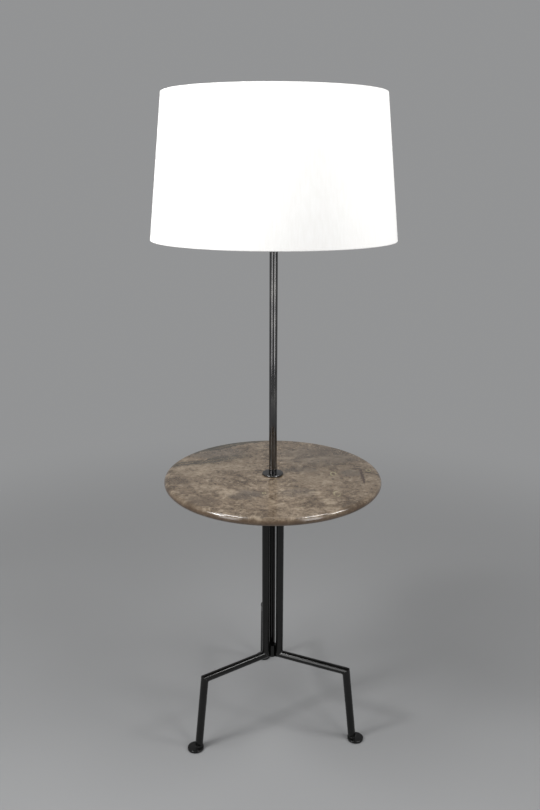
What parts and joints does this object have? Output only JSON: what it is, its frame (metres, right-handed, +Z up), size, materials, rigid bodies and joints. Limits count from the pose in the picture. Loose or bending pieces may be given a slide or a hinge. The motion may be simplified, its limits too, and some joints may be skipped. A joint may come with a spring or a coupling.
{
  "type": "floor lamp with table",
  "caption": "Floor lamp with a round stone table on a bent-tube tripod base, a slim pole above the table and a tapered drum shade over a screw-base bulb.",
  "frame": {"origin": "on the floor, on the axis of the pole and of the stem", "axes": "+Z up along the pole; -Y is the front, where the switch knob points; the rear leg runs along +Y; +X is to the right seen from the front"},
  "size_m": [0.548, 0.5595, 1.5494],
  "materials": {
    "black_steel": "satin black powder coat",
    "grey_felt": "pressed felt",
    "black_rubber": "matt",
    "brown_stone": "polished brown-grey fossil limestone",
    "dark_steel": "blackened, satin",
    "plated_steel": "zinc plated",
    "black_plastic": "moulded",
    "nickel_plate": "satin nickel plate",
    "grey_card": "vulcanised fibre",
    "black_phenolic": "moulded phenolic",
    "brass": "plain",
    "opal_glass": "frosted white",
    "bulb_aluminium": "pressed thread",
    "white_linen": "fine plain weave",
    "white_lining": "smooth",
    "white_wire": "white enamel"
  },
  "bodies": {
    "stand": {"arm_tube_front_left": "black_steel", "arm_tube_front_right": "black_steel", "arm_tube_rear": "black_steel", "base_flange": "dark_steel", "centre_contact": "brass", "clamp_rod": "plated_steel", "cord_bushing": "black_plastic", "cushion_disc": "black_rubber", "flange_gasket": "black_rubber", "foot_glide_front_left": "grey_felt", "foot_glide_front_right": "grey_felt", "foot_glide_rear": "grey_felt", "foot_pad_front_left": "black_steel", "foot_pad_front_right": "black_steel", "foot_pad_rear": "black_steel", "harp_saddle": "nickel_plate", "harp_stud": "nickel_plate", "harp_wire": "nickel_plate", "pole_plug_lower": "plated_steel", "pole_plug_upper": "plated_steel", "pole_tube": "dark_steel", "screw_shell": "brass", "set_screw": "plated_steel", "shin_tube_front_left": "black_steel", "shin_tube_front_right": "black_steel", "shin_tube_rear": "black_steel", "socket_block": "black_phenolic", "socket_cap": "nickel_plate", "socket_liner": "grey_card", "socket_rod": "plated_steel", "socket_shell": "nickel_plate", "stem_spacer": "black_steel", "stone_top": "brown_stone", "support_plate": "black_steel", "terminal_screws": "brass", "upright_tube_front_left": "black_steel", "upright_tube_front_right": "black_steel", "upright_tube_rear": "black_steel", "weld_nut": "black_steel"},
    "shade": {"shade_cover": "white_linen", "shade_lining": "white_lining", "shade_top_ring": "white_wire", "shade_bottom_ring": "white_wire", "spider_hub": "nickel_plate", "spider_arm_1": "nickel_plate", "spider_arm_2": "nickel_plate", "spider_arm_3": "nickel_plate"},
    "finial": {"finial": "nickel_plate"},
    "switch": {"switch_shaft": "plated_steel", "switch_knob": "black_phenolic"},
    "bulb": {"bulb_glass": "opal_glass", "bulb_base": "bulb_aluminium", "bulb_contact": "brass"},
    "left_sleeve": {"harp_sleeve_left": "nickel_plate"},
    "right_sleeve": {"harp_sleeve_right": "nickel_plate"}
  },
  "joints": [
    {"name": "shade_turn", "type": "hinge", "parent": "stand", "child": "shade", "pos_m": [0, 0, 1.525], "axis": [0, 0, 1], "continuous": true},
    {"name": "finial_turn", "type": "hinge", "parent": "stand", "child": "finial", "pos_m": [0, 0, 1.53], "axis": [0, 0, 1], "range_deg": [0, 4320]},
    {"name": "switch_turn", "type": "hinge", "parent": "stand", "child": "switch", "pos_m": [0, -0.02, 1.326], "axis": [0, -1, 0], "continuous": true},
    {"name": "bulb_turn", "type": "hinge", "parent": "stand", "child": "bulb", "pos_m": [0, 0, 1.35], "axis": [0, 0, 1], "range_deg": [0, 1080]},
    {"name": "left_sleeve_lift", "type": "slide", "parent": "stand", "child": "left_sleeve", "axis": [0, 0, 1], "range_m": [0, 0.0125]},
    {"name": "right_sleeve_lift", "type": "slide", "parent": "stand", "child": "right_sleeve", "axis": [0, 0, 1], "range_m": [0, 0.0125]}
  ]
}
